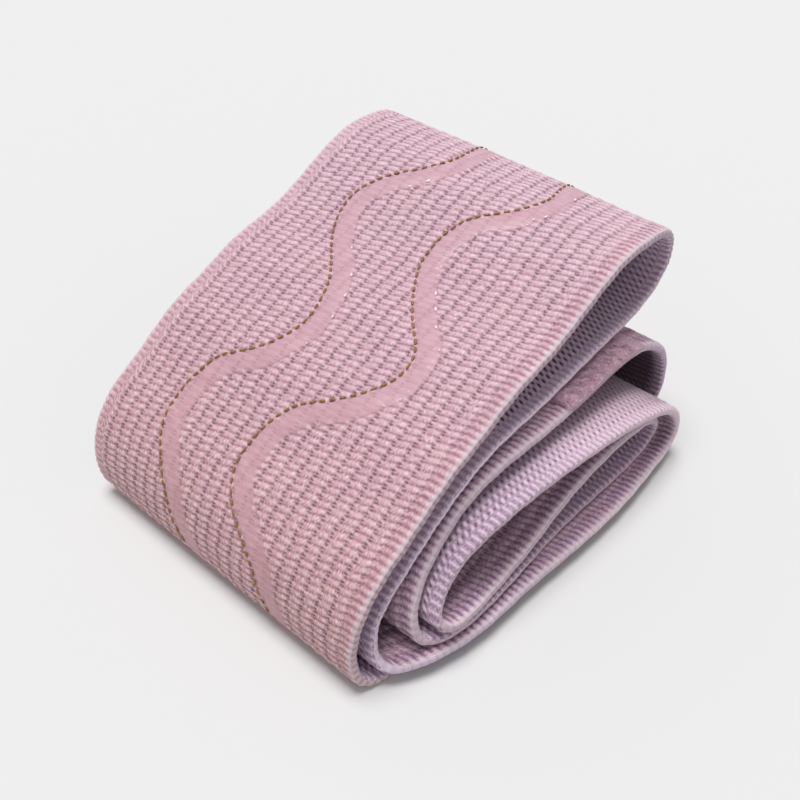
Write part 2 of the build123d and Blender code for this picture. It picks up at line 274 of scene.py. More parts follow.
# ------------------------------------------------------------------ materials
def srgb(r, g, b):
    out = []
    for c in (r, g, b):
        c /= 255.0
        out.append(c / 12.92 if c <= 0.04045 else ((c + 0.055) / 1.055) ** 2.4)
    return tuple(out) + (1.0,)


class Nodes:
    def __init__(self, name):
        self.mat = bpy.data.materials.new(name)
        self.mat.use_nodes = True
        self.t = self.mat.node_tree
        self.b = self.t.nodes["Principled BSDF"]

    def node(self, kind, **props):
        n = self.t.nodes.new(kind)
        for k, v in props.items():
            setattr(n, k, v)
        return n

    def put(self, socket, value):
        if isinstance(value, bpy.types.NodeSocket):
            self.t.links.new(value, socket)
        else:
            socket.default_value = value

    def m(self, op, a, b=None, c=None, clamp=False):
        n = self.node("ShaderNodeMath", operation=op, use_clamp=clamp)
        for i, v in enumerate((a, b, c)):
            if v is not None:
                self.put(n.inputs[i], v)
        return n.outputs[0]

    def mix(self, f, a, b, blend="MIX"):
        n = self.node("ShaderNodeMix", data_type="RGBA", blend_type=blend)
        self.put(n.inputs[0], f)
        self.put(n.inputs[6], a)
        self.put(n.inputs[7], b)
        return n.outputs[2]

    def step(self, x, lo, hi, a=0.0, b=1.0):
        n = self.node("ShaderNodeMapRange", interpolation_type="SMOOTHSTEP")
        self.put(n.inputs[0], x)
        for i, v in zip((1, 2, 3, 4), (lo, hi, a, b)):
            n.inputs[i].default_value = v
        return n.outputs[0]

    def frac0(self, x):
        return self.m("SUBTRACT", x, self.m("FLOOR", self.m("ADD", x, 0.5)))

    def gauss(self, x, width):
        q = self.m("DIVIDE", x, width)
        return self.m("EXPONENT", self.m("MULTIPLY", self.m("MULTIPLY", q, q), -1.0))

    def noise(self, scale, detail=3.0, rough=0.55, vector=None, out=0):
        n = self.node("ShaderNodeTexNoise")
        n.inputs["Scale"].default_value = scale
        n.inputs["Detail"].default_value = detail
        n.inputs["Roughness"].default_value = rough
        if vector is not None:
            self.put(n.inputs["Vector"], vector)
        return n.outputs[out]

    def uv(self):
        n = self.node("ShaderNodeUVMap", uv_map="UVMap")
        s = self.node("ShaderNodeSeparateXYZ")
        self.put(s.inputs[0], n.outputs[0])
        return n.outputs[0], s.outputs[0], s.outputs[1]

    def ramp(self, x, stops, interpolation="LINEAR"):
        n = self.node("ShaderNodeValToRGB")
        r = n.color_ramp
        r.interpolation = interpolation
        while len(r.elements) > 1:
            r.elements.remove(r.elements[-1])
        r.elements[0].position, r.elements[0].color = stops[0]
        for p, c in stops[1:]:
            e = r.elements.new(p)
            e.color = c
        self.put(n.inputs[0], x)
        return n.outputs[0]

    def bump(self, height, strength, distance):
        n = self.node("ShaderNodeBump")
        n.inputs["Strength"].default_value = strength
        n.inputs["Distance"].default_value = distance
        self.put(n.inputs["Height"], height)
        return n.outputs[0]


def fabric_finish(k, colour, height, rough=0.86, sheen=0.35, distance=0.00035):
    k.put(k.b.inputs["Base Color"], colour)
    k.b.inputs["Roughness"].default_value = rough
    k.b.inputs["Specular IOR Level"].default_value = 0.12
    k.b.inputs["Sheen Weight"].default_value = sheen
    k.b.inputs["Sheen Roughness"].default_value = 0.45
    k.b.inputs["Sheen Tint"].default_value = (1.0, 0.93, 0.96, 1.0)
    k.put(k.b.inputs["Normal"], k.bump(height, 0.55, distance))


def outer_material():
    k = Nodes("knit_outer")
    vec, s, a = k.uv()
    low = k.m("FRACT", k.m("DIVIDE", s, LOOP))
    # colour along the loop: warmer near the crease, lilac on the plies inside
    tone = k.ramp(low, [
        (0.0, srgb(224, 194, 208)),
        (30 / LOOP, srgb(217, 183, 196)),
        (60 / LOOP, srgb(214, 178, 190)),
        (92 / LOOP, srgb(209, 168, 174)),
        (112 / LOOP, srgb(211, 164, 162)),
        (130 / LOOP, srgb(214, 168, 158)),
        (150 / LOOP, srgb(196, 168, 190)),
        (0.30, srgb(190, 164, 192)),
        (0.33, srgb(206, 178, 190)),
        (0.40, srgb(186, 158, 184)),
        (0.90, srgb(186, 160, 188)),
        (0.95, srgb(206, 178, 196)),
        (1.0, srgb(224, 194, 208)),
    ])
    u = k.m("ADD", k.m("MULTIPLY", a, 0.293), k.m("MULTIPLY", k.m("SINE", k.m("MULTIPLY", s, 1.31)), 0.045))
    u = k.m("ADD", u, k.m("MULTIPLY", k.m("SINE", k.m("ADD", k.m("MULTIPLY", s, 0.37), k.m("MULTIPLY", a, 0.21))), 0.035))
    inside = k.m("MULTIPLY", k.step(a, 2.6, 4.2), k.step(a, WIDTH - 4.2, WIDTH - 2.6, 1.0, 0.0))
    v = k.m("SUBTRACT", k.m("DIVIDE", s, PITCH_S), k.m("MULTIPLY", k.m("MULTIPLY", a, 0.0285), inside))
    v = k.m("ADD", v, k.m("MULTIPLY", k.m("MULTIPLY", k.m("SINE", k.m("MULTIPLY", a, 0.83)), 0.05), inside))
    g = k.m("SUBTRACT", v, k.m("MULTIPLY", k.m("MULTIPLY_ADD", k.m("FRACT", u), 0.4, 0.1), inside))
    bar = k.m("MULTIPLY_ADD", k.m("COSINE", k.m("MULTIPLY", g, 2 * math.pi)), -0.5, 0.5)
    du = k.m("DIVIDE", k.frac0(u), 0.293)
    p1 = k.m("MULTIPLY", k.gauss(du, 0.52), k.gauss(k.m("MULTIPLY", k.frac0(k.m("SUBTRACT", v, 0.5)), PITCH_S), 0.24))
    p2 = k.m("MULTIPLY", k.gauss(du, 0.46), k.gauss(k.m("MULTIPLY", k.frac0(k.m("SUBTRACT", v, 0.1)), PITCH_S), 0.22))
    pit = k.m("MULTIPLY", k.m("MAXIMUM", p1, p2), inside)
    blob = k.m("MULTIPLY", k.gauss(k.m("SUBTRACT", du, 0.9), 0.7), bar)
    cell = k.node("ShaderNodeCombineXYZ")
    k.put(cell.inputs[0], k.m("FLOOR", k.m("ADD", u, 0.05)))
    k.put(cell.inputs[1], k.m("FLOOR", g))
    rand = k.node("ShaderNodeTexWhiteNoise", noise_dimensions="2D")
    k.put(rand.inputs["Vector"], cell.outputs[0])
    rand = rand.outputs["Value"]
    # fine yarn strands across the bars
    fine = k.noise(1.0, 4.0, 0.6, vector=scaled(k, vec, 1.1, 4.5))
    blotch = k.noise(0.11, 3.0, 0.55, vector=vec)
    att = k.node("ShaderNodeAttribute", attribute_name="silicone").outputs["Fac"]
    knit = k.m("SUBTRACT", 1.0, k.m("MULTIPLY", att, 0.72))
    # painted shade and painted highlight: the grooves between the knit bars are darkened and the tops of the loops
    # (blob) lightened
    groove = k.m("MULTIPLY", k.m("POWER", k.m("SUBTRACT", 1.0, bar), 2.5), knit)
    c = k.mix(k.m("MULTIPLY", groove, 0.8), tone, k.mix(1.0, tone, srgb(186, 142, 160), "MULTIPLY"))
    c = k.mix(k.m("MULTIPLY", k.m("MULTIPLY", blob, knit), 0.62), c, srgb(243, 216, 226))
    c = k.mix(k.m("MULTIPLY", k.m("MULTIPLY", rand, knit), 0.30), c, srgb(180, 134, 150))
    c = k.mix(k.m("MULTIPLY", k.step(blotch, 0.45, 0.75), 0.22), c, srgb(226, 186, 184))
    c = k.mix(k.m("MULTIPLY", k.m("MULTIPLY", k.step(fine, 0.48, 0.66), knit), 0.62), c, srgb(250, 230, 238))
    c = k.mix(k.m("MULTIPLY", k.m("MULTIPLY", k.step(fine, 0.50, 0.34), knit), 0.5), c, srgb(166, 120, 138))
    # painted shade: the pits of the knit are darkened, over and above their dip in the bump
    pit_shade = k.m("MULTIPLY", k.m("MULTIPLY", pit, knit), k.m("MULTIPLY_ADD", rand, 0.45, 0.42))
    c = k.mix(pit_shade, c, srgb(92, 56, 74))
    c = k.mix(k.m("MULTIPLY", att, 0.25), c, srgb(216, 170, 182))
    # greyish selvedge with reddish grooves beside it
    shown = k.m("MAXIMUM", k.step(low, 0.17, 0.19, 1.0, 0.0), k.step(low, 0.90, 0.965))
    # The reddish grooves are the knit's own colour; their darker purple on the plies inside the fold, where shown is 0,
    # is painted shade.
    red = k.m("MULTIPLY", k.m("MULTIPLY", k.gauss(k.m("SUBTRACT", a, 2.4), 1.2), k.m("SUBTRACT", 1.0, bar)), 0.6)
    c = k.mix(red, c, k.mix(shown, srgb(98, 72, 102), srgb(160, 106, 122)))
    # painted shade: the plies inside the fold are darkened to a deeper, duller colour away from their edges
    fold_shade = k.m("MULTIPLY", k.m("MULTIPLY", k.step(k.m("MINIMUM", a, k.m("SUBTRACT", WIDTH, a)), 4.0, 16.0), k.m("SUBTRACT", 1.0, shown)), 0.5)
    c = k.mix(fold_shade, c, srgb(104, 74, 98))
    edge = k.m("MAXIMUM", k.step(a, 0.3, 1.5, 1.0, 0.0), k.step(a, WIDTH - 1.5, WIDTH - 0.3))
    c = k.mix(k.m("MULTIPLY", edge, 0.7), c, srgb(216, 205, 212))
    height = k.m("ADD", k.m("SUBTRACT", k.m("MULTIPLY", fine, 0.8), pit), k.m("MULTIPLY", bar, 0.25))
    fabric_finish(k, c, height)
    return k.mat


def scaled(k, vec, x, y):
    n = k.node("ShaderNodeMapping")
    k.put(n.inputs["Vector"], vec)
    n.inputs["Scale"].default_value = (x, y, 1.0)
    return n.outputs[0]


def inner_material():
    k = Nodes("knit_inner")
    vec, s, a = k.uv()
    low = k.m("FRACT", k.m("DIVIDE", s, LOOP))
    # partly painted light: the stops at 0.87 to 0.93, on the second ply, are set lighter to stand in for the light it
    # gets
    tone = k.ramp(low, [
        (0.0, srgb(176, 150, 176)),
        (0.30, srgb(176, 152, 178)),
        (0.42, srgb(176, 150, 178)),
        (0.60, srgb(168, 140, 166)),
        (0.650, srgb(178, 151, 175)),
        (0.675, srgb(206, 178, 198)),
        (0.715, srgb(218, 186, 202)),
        (0.77, srgb(196, 166, 184)),
        (0.83, srgb(178, 152, 180)),
        (0.87, srgb(196, 170, 198)),
        (0.93, srgb(214, 190, 214)),
        (1.0, srgb(176, 150, 176)),
    ])
    inside = k.m("MULTIPLY", k.step(a, 1.6, 2.6), k.step(a, WIDTH - 2.6, WIDTH - 1.6, 1.0, 0.0))
    v = k.m("DIVIDE", s, PITCH_S)
    w1 = k.m("COSINE", k.m("MULTIPLY", k.m("SUBTRACT", v, k.m("MULTIPLY", a, 0.53)), 2 * math.pi))
    w2 = k.m("COSINE", k.m("MULTIPLY", k.m("MULTIPLY_ADD", a, 0.07, v), 2 * math.pi))
    loops = k.m("MULTIPLY_ADD", k.m("ADD", w1, w2), 0.25, 0.5)
    bar = k.m("MULTIPLY_ADD", k.m("COSINE", k.m("MULTIPLY", v, 2 * math.pi)), 0.5, 0.5)
    lo = k.m("ADD", k.m("MULTIPLY", loops, inside), k.m("MULTIPLY", k.m("MULTIPLY_ADD", bar, 0.6, 0.2), k.m("SUBTRACT", 1.0, inside)))
    fine = k.noise(1.0, 4.0, 0.6, vector=scaled(k, vec, 1.6, 4.0))
    # painted shade and painted highlight: the loops of the knit are drawn darker in their hollows and lighter on their
    # tops
    c = k.mix(k.m("MULTIPLY", k.step(lo, 0.36, 0.02), 0.85), tone, srgb(96, 64, 90))
    c = k.mix(k.m("MULTIPLY", k.step(lo, 0.5, 0.9), 0.75), c, srgb(244, 224, 236))
    c = k.mix(k.m("MULTIPLY", k.step(fine, 0.46, 0.68), 0.55), c, srgb(244, 224, 236))
    c = k.mix(k.m("MULTIPLY", k.step(fine, 0.5, 0.32), 0.45), c, srgb(128, 94, 124))
    # painted shadow: a dark band across the inner face near 0.915 of the loop, clear of the near selvedge and of the
    # loop's end, strongest in the hollows of the loops
    gap_shade = k.m("MULTIPLY", k.gauss(k.m("SUBTRACT", low, 0.915), 0.06), k.step(a, 1.5, 3.5))
    gap_shade = k.m("MULTIPLY", gap_shade, k.step(low, 0.965, 0.998, 1.0, 0.0))
    c = k.mix(k.m("MULTIPLY", k.m("MULTIPLY", gap_shade, k.step(lo, 0.55, 0.15)), 0.75), c, srgb(58, 36, 52))
    # painted shade: the inner face is darkened away from its edges and, more strongly, deep in the two right-hand turns
    turn = k.m("MAXIMUM", k.gauss(k.m("SUBTRACT", low, TURN_O), 0.028), k.gauss(k.m("SUBTRACT", low, TURN_I), 0.022))
    far_in = k.m("MINIMUM", a, k.m("SUBTRACT", WIDTH, a))
    fold_shade = k.m("MAXIMUM", k.m("MULTIPLY", k.step(far_in, 4.0, 16.0), 0.5), k.m("MULTIPLY", k.m("MULTIPLY", turn, k.step(far_in, 0.6, 4.0)), 0.92))
    c = k.mix(fold_shade, c, srgb(68, 43, 58))
    height = k.m("ADD", k.m("MULTIPLY", fine, 0.7), k.m("MULTIPLY", lo, 0.5))
    fabric_finish(k, c, height)
    return k.mat


def selvedge_material():
    k = Nodes("knit_selvedge")
    vec, s, a = k.uv()
    low = k.m("FRACT", k.m("DIVIDE", s, LOOP))
    # partly painted light: the stops at 0.735 to 0.765 (the right turn's rim) and 0.87 to 0.92 (the second ply's rim)
    # are set lighter to stand in for light on these rims
    tone = k.ramp(low, [
        (0.0, srgb(192, 168, 182)),
        (0.10, srgb(192, 164, 174)),
        (0.155, srgb(212, 184, 180)),
        (0.19, srgb(196, 176, 196)),
        (0.29, srgb(196, 176, 198)),
        (0.335, srgb(220, 196, 204)),
        (0.37, srgb(206, 182, 196)),
        (0.44, srgb(208, 184, 196)),
        (0.56, srgb(196, 170, 186)),
        (0.66, srgb(206, 178, 194)),
        (0.735, srgb(230, 206, 218)),
        (0.765, srgb(232, 210, 208)),
        (0.80, srgb(206, 184, 204)),
        (0.87, srgb(236, 216, 238)),
        (0.92, srgb(243, 226, 248)),
        (0.97, srgb(212, 188, 202)),
        (1.0, srgb(192, 168, 182)),
    ])
    bar = k.m("MULTIPLY_ADD", k.m("COSINE", k.m("MULTIPLY", k.m("DIVIDE", s, PITCH_S), 2 * math.pi)), 0.5, 0.5)
    fine = k.noise(1.0, 4.0, 0.65, vector=scaled(k, vec, 3.4, 1.4))
    bar = k.m("SUBTRACT", 1.0, bar)
    outer = k.step(k.m("ABSOLUTE", k.m("SUBTRACT", k.m("FRACT", k.m("ADD", low, 0.02)), 0.09)), 0.09, 0.12, 0.55, 0.22)
    # painted shade: the grooves between the courses are darkened, more strongly on the top ply and crease (outer)
    c = k.mix(k.m("MULTIPLY", k.m("POWER", k.m("SUBTRACT", 1.0, bar), 2.0), outer), tone, srgb(134, 100, 124))
    c = k.mix(k.m("MULTIPLY", k.step(fine, 0.45, 0.7), 0.4), c, srgb(228, 212, 222))
    c = k.mix(k.m("MULTIPLY", k.step(fine, 0.5, 0.32), 0.35), c, srgb(150, 120, 142))
    height = k.m("ADD", k.m("MULTIPLY", fine, 0.7), k.m("MULTIPLY", bar, 0.3))
    fabric_finish(k, c, height, sheen=0.45)
    return k.mat


def silicone_material():
    k = Nodes("silicone_grip")
    vec, s, a = k.uv()
    n1 = k.noise(0.35, 4.0, 0.6, vector=vec)
    n2 = k.noise(1.4, 3.0, 0.6, vector=vec)
    c = k.mix(k.step(n1, 0.35, 0.7), srgb(214, 168, 180), srgb(236, 202, 212))
    k.put(k.b.inputs["Base Color"], c)
    k.put(k.b.inputs["Roughness"], k.step(n2, 0.3, 0.7, 0.16, 0.38))
    k.b.inputs["IOR"].default_value = 1.42
    k.b.inputs["Coat Weight"].default_value = 0.25
    k.b.inputs["Subsurface Weight"].default_value = 0.0
    k.b.inputs["Alpha"].default_value = 0.28
    k.put(k.b.inputs["Normal"], k.bump(n2, 0.4, 0.0003))
    return k.mat


# painted highlight: near-white, glossy drops placed to stand in for glints on the silicone
def glint_bead_material():
    k = Nodes("painted_glint_bead")
    n = k.noise(900.0, 2.0, 0.5)
    k.put(k.b.inputs["Base Color"], k.mix(n, srgb(255, 246, 250), srgb(250, 232, 240)))
    k.b.inputs["Roughness"].default_value = 0.12
    k.b.inputs["Coat Weight"].default_value = 0.6
    return k.mat


def gold_material():
    k = Nodes("gold_thread")
    vec, s, a = k.uv()
    strand = k.m("MULTIPLY_ADD", k.m("SINE", k.m("MULTIPLY", k.m("ADD", k.m("MULTIPLY", s, 4.0), a), 6.0)), 0.5, 0.5)
    n = k.noise(3.0, 3.0, 0.6, vector=vec)
    c = k.mix(strand, srgb(128, 88, 44), srgb(178, 132, 74))
    c = k.mix(k.m("MULTIPLY", k.step(n, 0.45, 0.8), 0.5), c, srgb(104, 70, 40))
    k.put(k.b.inputs["Base Color"], c)
    k.b.inputs["Roughness"].default_value = 0.42
    k.b.inputs["Metallic"].default_value = 0.12
    k.put(k.b.inputs["Normal"], k.bump(strand, 0.4, 0.0001))
    return k.mat


def lap_material():
    k = Nodes("seam_lap")
    vec, s, a = k.uv()
    n1 = k.noise(1.0, 5.0, 0.7, vector=scaled(k, vec, 1.0, 2.6))
    n2 = k.noise(0.35, 3.0, 0.6, vector=vec)
    c = k.mix(k.step(n1, 0.3, 0.7), srgb(172, 122, 148), srgb(240, 204, 218))
    c = k.mix(k.m("MULTIPLY", k.step(n2, 0.45, 0.7), 0.35), c, srgb(206, 170, 190))
    fabric_finish(k, c, n1, sheen=0.6, distance=0.0011)
    return k.mat


def thread_material():
    k = Nodes("seam_thread")
    vec, s, a = k.uv()
    strand = k.m("MULTIPLY_ADD", k.m("SINE", k.m("MULTIPLY", k.m("ADD", k.m("MULTIPLY", s, 4.0), a), 6.0)), 0.5, 0.5)
    fabric_finish(k, k.mix(strand, srgb(206, 162, 182), srgb(238, 208, 220)), strand, rough=0.7, distance=0.0001)
    return k.mat


TURN_O = 0.5 * (S0["right_turn_outer"] + S0["middle_ply_outer"]) / LOOP
TURN_I = 0.5 * (S0["right_turn_inner"] + S0["bottom_ply_inner"]) / LOOP
OUTER, INNER, SELV = outer_material(), inner_material(), selvedge_material()
SILICONE, GLINT_BEAD, GOLD, LAPM, THREAD = silicone_material(), glint_bead_material(), gold_material(), lap_material(), thread_material()


# ------------------------------------------------------------------ webbing shells
DS = PITCH_S / 4


def groove_near(s):
    """The nearest groove between two courses: pieces meet there."""
    return (round(s / PITCH_S - 0.5) + 0.5) * PITCH_S


def across_grid(fine_to):
    """Positions across the webbing: fine near the near selvedge (and far one), coarser where nothing shows."""
    step = PITCH_A / 8
    a = list(np.arange(0.9, fine_to, step))
    if fine_to < 70:
        x = a[-1] + 0.9
        while x < WIDTH - 6:
            a.append(x)
            x += 1.25
        a += list(np.arange(a[-1] + 0.7, WIDTH - 0.9, 0.6))
    a = [v for v in a if v < WIDTH - 1.1] + [WIDTH - 0.9]
    return np.array(a)


def section(fine_to):
    """Closed section of the webbing: across, height, kind (0 outer, 1 inner, 2 selvedge), running outer -> far edge -> inner -> near edge."""
    a = across_grid(fine_to)
    r, half = 0.9, T / 2
    rows = [(v, half, 0) for v in a]
    angles = np.linspace(0, math.pi, 9)[1:-1]
    far = [(WIDTH - r + r * math.sin(t), half * math.copysign(abs(math.cos(t)) ** 0.8, math.cos(t)), 2) for t in angles]
    inner = [(v, -half, 1) for v in a[::-1]]
    near = [(r - r * math.sin(t), -half * math.copysign(abs(math.cos(t)) ** 0.8, math.cos(t)), 2) for t in angles]
    return rows + far + inner + near


def webbing(name, s0, s1, fine_to=24.0, coarse=1):
    s = np.arange(0, int(round((s1 - s0) / DS / coarse)) + 1)
    s = s0 + s * (s1 - s0) / s[-1]
    sec = section(fine_to)
    a = np.array([r[0] for r in sec])
    h = np.array([r[1] for r in sec])
    kind = np.array([r[2] for r in sec])
    S, A = np.meshgrid(s, a, indexing="ij")
    H = np.broadcast_to(h, S.shape).copy()
    D = np.zeros_like(S)
    o, i, e = kind == 0, kind == 1, kind == 2
    sil = np.zeros_like(S)
    sil[:, o] = gripped(S[:, o], A[:, o])
    D[:, o] = (outer_relief(S[:, o], A[:, o]) - 0.14) * (1 - 0.85 * sil[:, o])
    D[:, i] = -(inner_relief(S[:, i], A[:, i]) - 0.12)
    # fine unevenness
    wob = 0.05 * np.sin(S * 1.9 + A * 0.7) * np.sin(A * 1.3 - S * 0.35)
    H = H + D + np.where(i[None, :], -wob, wob) * (~e)[None, :]
    A2 = A.copy()
    bar = 0.5 - 0.5 * np.cos(2 * np.pi * S[:, e] / PITCH_S)
    low = (S[:, e] / LOOP + 0.02) % 1
    bar = 0.5 + (bar - 0.5) * (0.35 + 0.65 * (1 - smooth(np.abs(low - 0.09), 0.09, 0.12)))
    side = np.where(A[:, e] < 40, -1.0, 1.0)
    round_ = np.abs(A[:, e] - 40) - (40 - 0.9)
    k = np.clip(round_ / 0.9, 0, 1)
    A2[:, e] = A[:, e] + side * (0.15 * bar - 0.09) * k + side * 0.05 * np.sin(S[:, e] * 0.9)
    H[:, e] = H[:, e] * (1 + (0.2 * bar - 0.1))
    P = place(S, A2, H)
    uv = np.stack([S, np.clip(A, 0, WIDTH)], -1)
    uv = np.concatenate([uv, uv[:, :1]], 1)
    index = kind.copy()
    high = np.array([r[1] for r in sec])
    index[(kind == 2) & (high > 0.55)] = 0
    index[(kind == 2) & (high < -0.75)] = 1
    ob = grid_mesh(name, P, uv, [OUTER, INNER, SELV], index)
    close_ends(ob, *P.shape[:2])
    att = ob.data.attributes.new("silicone", "FLOAT", "POINT")
    att.data.foreach_set("value", sil.ravel().astype(np.float32))
    return ob, s1 - s0


def ribbon(name, kind, s0, s1, step=0.5):
    """A silicone wave: a low rounded ribbon on the outer face, beside the stitch line."""
    s = np.linspace(s0, s1, int((s1 - s0) / step) + 1)
    k = np.linspace(-1, 1, 11)
    uneven = 0.16 * np.sin(s * 0.8) + 0.1 * np.sin(s * 2.1 + 1)
    top, base = [], []
    for q in k:
        d = SIDE + q * (HALF + uneven * (1 if abs(q) > 0.5 else 0))
        ss, aa = offset_line(kind, s, d)
        hh = T / 2 + 0.02 + 0.2 * (1 - abs(q) ** 2.0) + 0.03 * np.sin(s * 3.1 + q * 4)
        top.append(place(ss, aa, hh))
        base.append(place(ss, aa, np.full_like(s, T / 2 - 0.12)))
    P = np.stack(top + base[::-1], 1)
    acc = np.concatenate([k * HALF + 20, k[::-1] * HALF + 40])
    uv = np.stack(np.meshgrid(s, acc, indexing="ij"), -1)
    uv = np.concatenate([uv, uv[:, :1]], 1)
    ob = grid_mesh(name, P, uv, [SILICONE], np.zeros(P.shape[1], int))
    return close_ends(ob, *P.shape[:2])


def close_ends(ob, n, m):
    """Caps a tube of n rings of m points."""
    import bmesh
    bm = bmesh.new()
    bm.from_mesh(ob.data)
    bm.verts.ensure_lookup_table()
    bm.faces.new([bm.verts[i] for i in range(m)][::-1])
    bm.faces.new([bm.verts[(n - 1) * m + i] for i in range(m)])
    bmesh.ops.recalc_face_normals(bm, faces=bm.faces)
    bm.to_mesh(ob.data)
    bm.free()
    return ob


def capsules(name, items, mat, sides=8):
    """Short thread stitches: items are (centre, direction, normal, length, width, height) in metres."""
    verts, faces, uvs = [], [], []
    prof = [(-1.0, 0.0), (-0.9, 0.55), (-0.62, 0.9), (-0.2, 1.0), (0.2, 1.0), (0.62, 0.9), (0.9, 0.55), (1.0, 0.0)]
    for c, d, n, length, width, height in items:
        t = np.cross(n, d)
        base = len(verts)
        rings = []
        for x, r in prof:
            if r == 0:
                rings.append([len(verts)])
                verts.append(c + d * x * length / 2)
                continue
            ring = []
            for i in range(sides):
                w = 2 * math.pi * i / sides
                ring.append(len(verts))
                verts.append(c + d * x * length / 2 + t * math.cos(w) * r * width / 2 + n * math.sin(w) * r * height / 2)
            rings.append(ring)
        for a, b in zip(rings[:-1], rings[1:]):
            if len(a) == 1:
                faces += [(a[0], b[(i + 1) % sides], b[i]) for i in range(sides)]
            elif len(b) == 1:
                faces += [(a[i], a[(i + 1) % sides], b[0]) for i in range(sides)]
            else:
                faces += [(a[i], a[(i + 1) % sides], b[(i + 1) % sides], b[i]) for i in range(sides)]
    mesh = bpy.data.meshes.new(name)
    mesh.from_pydata([tuple(v) for v in verts], [], faces)
    layer = mesh.uv_layers.new(name="UVMap")
    co = np.array([v for v in verts]) * 1000
    li = np.empty(len(mesh.loops), dtype=np.int32)
    mesh.loops.foreach_get("vertex_index", li)
    layer.data.foreach_set("uv", co[li][:, [0, 1]].astype(np.float32).ravel())
    mesh.materials.append(mat)
    mesh.polygons.foreach_set("use_smooth", np.ones(len(mesh.polygons), dtype=bool))
    mesh.update()
    ob = bpy.data.objects.new(name, mesh)
    bpy.context.collection.objects.link(ob)
    return ob


def frame_at(s, a, h, ds, da):
    p = place(s, a, h)
    q = place(s + 0.05 * ds, a + 0.05 * da, h)
    up = place(s, a, h + 0.05)
    d = q - p
    d /= np.linalg.norm(d)
    n = up - p
    n /= np.linalg.norm(n)
    n = n - d * np.dot(n, d)
    n /= np.linalg.norm(n)
    return p, d, n


def dashes(kind, s0, s1, pitch=2.06):
    """Running stitch from s0 towards s1, which may lie behind it."""
    out, s, way = [], s0, 1 if s1 > s0 else -1
    while (s1 - s) * way > 0:
        g = float(wave(kind, s + 0.3) - wave(kind, s - 0.3)) / 0.6
        k = math.hypot(1, g)
        p, d, n = frame_at(s, float(wave(kind, s)), T / 2 + 0.16, 1 / k, g / k)
        out.append((p, d, n, 0.00142 + 0.0001 * random.uniform(-1, 1), 0.00062, 0.00042))
        s += way * pitch / k
    return out


# ------------------------------------------------------------------ build
pieces = {}
cut = {n: groove_near(S0[n]) for n in NAMES}
LOOPR = LOOP                       # the last course closes on the first

# the outer wrap: from the bottom inner ply round the crease, over the flap and back to the bottom
wrap, length = webbing("webbing_wrap", cut["bottom_ply_inner"], LOOP + cut["right_turn_outer"], fine_to=90.0)
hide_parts("bottom_ply_inner", "crease_inner", "second_ply", "top_turn", "top_ply", "crease_outer", "bottom_ply_outer")
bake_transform(wrap)

turn_o, length = webbing("webbing_right_turn_outer", cut["right_turn_outer"], cut["middle_ply_outer"], fine_to=90.0)
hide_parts("right_turn_outer")
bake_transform(turn_o)

roll, length = webbing("webbing_inner_roll", cut["middle_ply_outer"], cut["right_turn_inner"])
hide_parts("middle_ply_outer", "left_turn_outer", "inner_ply_lower", "inner_end_turn", "inner_ply_upper", "left_turn_inner", "middle_ply_inner")
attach(roll, "inner_roll")

turn_i, length = webbing("webbing_right_turn_inner", cut["right_turn_inner"], cut["bottom_ply_inner"], fine_to=90.0)
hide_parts("right_turn_inner")
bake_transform(turn_i)

# silicone waves
LAP_FAR = 61.0
fine = np.arange(S0["middle_ply_outer"], S0["left_turn_outer"], 0.25)
xs = centre(fine)[0][:, 0]
s_lap = float(np.interp(-LAP_FAR, -xs, fine))
for kind in WAVES:
    a0, a1 = S0["bottom_ply_inner"] + 0.6, LOOP + S0["crease_outer"] + 6.8
    w = ribbon(f"silicone_wave_{kind}_wrap", kind, a0, a1)
    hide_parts(*[f"grip_wave_{kind}_{n}" for n in ("second_ply", "top_turn", "top_ply", "crease_outer")])
    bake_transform(w)
    w = ribbon(f"silicone_wave_{kind}_turn", kind, S0["right_turn_outer"] + 8.2, S0["middle_ply_outer"])
    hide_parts(f"grip_wave_{kind}_right_turn_outer")
    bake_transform(w)
    w = ribbon(f"silicone_wave_{kind}_middle", kind, s_lap + 1.2, S0["left_turn_outer"] - 0.3)
    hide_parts(f"grip_wave_{kind}_middle_ply_outer")
    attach(w, "inner_roll")
    # gold dashes over the top ply and back round the top turn
    stitches = dashes(kind, -1.5, S0["crease_outer"] + 5.0)
    stitches += dashes(kind, -1.5, S0["top_turn"] - LOOP + 0.8)[1:]
    g = capsules(f"gold_thread_{kind}", stitches, GOLD)
    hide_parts(f"gold_stitches_{kind}_top_ply", f"gold_stitches_{kind}_top_turn")
    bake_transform(g)

# white glossy drops at the edge of the silicone: painted glints
glint_beads = []
for kind, s, d, size in [
    ("a", 16.5, 4.6, 0.9), ("a", 19.0, 4.9, 0.7), ("a", 52.0, 4.8, 0.8), ("a", 56.0, 5.0, 0.7), ("a", 60.5, 4.9, 0.6), ("a", 46.0, 4.7, 0.6),
    ("b", 5.5, 4.7, 0.9), ("b", 13.2, 4.9, 0.8), ("b", 15.0, 4.4, 0.6), ("b", 46.0, 4.8, 0.8), ("b", 50.0, 4.9, 0.9), ("b", 54.0, 4.5, 0.7), ("b", 57.5, 4.9, 0.5),
]:
    ss, aa = offset_line(kind, np.array([s]), d)
    g = float(wave(kind, s + 0.3) - wave(kind, s - 0.3)) / 0.6
    k = math.hypot(1, g)
    p, dd, n = frame_at(float(ss[0]), float(aa[0]), T / 2 + 0.2, 1 / k, g / k)
    glint_beads.append((p, dd, n, size * 0.001 * 1.3, size * 0.0006, size * 0.0005))
glint_bead = capsules("painted_glint_beads", glint_beads, GLINT_BEAD, sides=8)
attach(glint_bead, "flap")

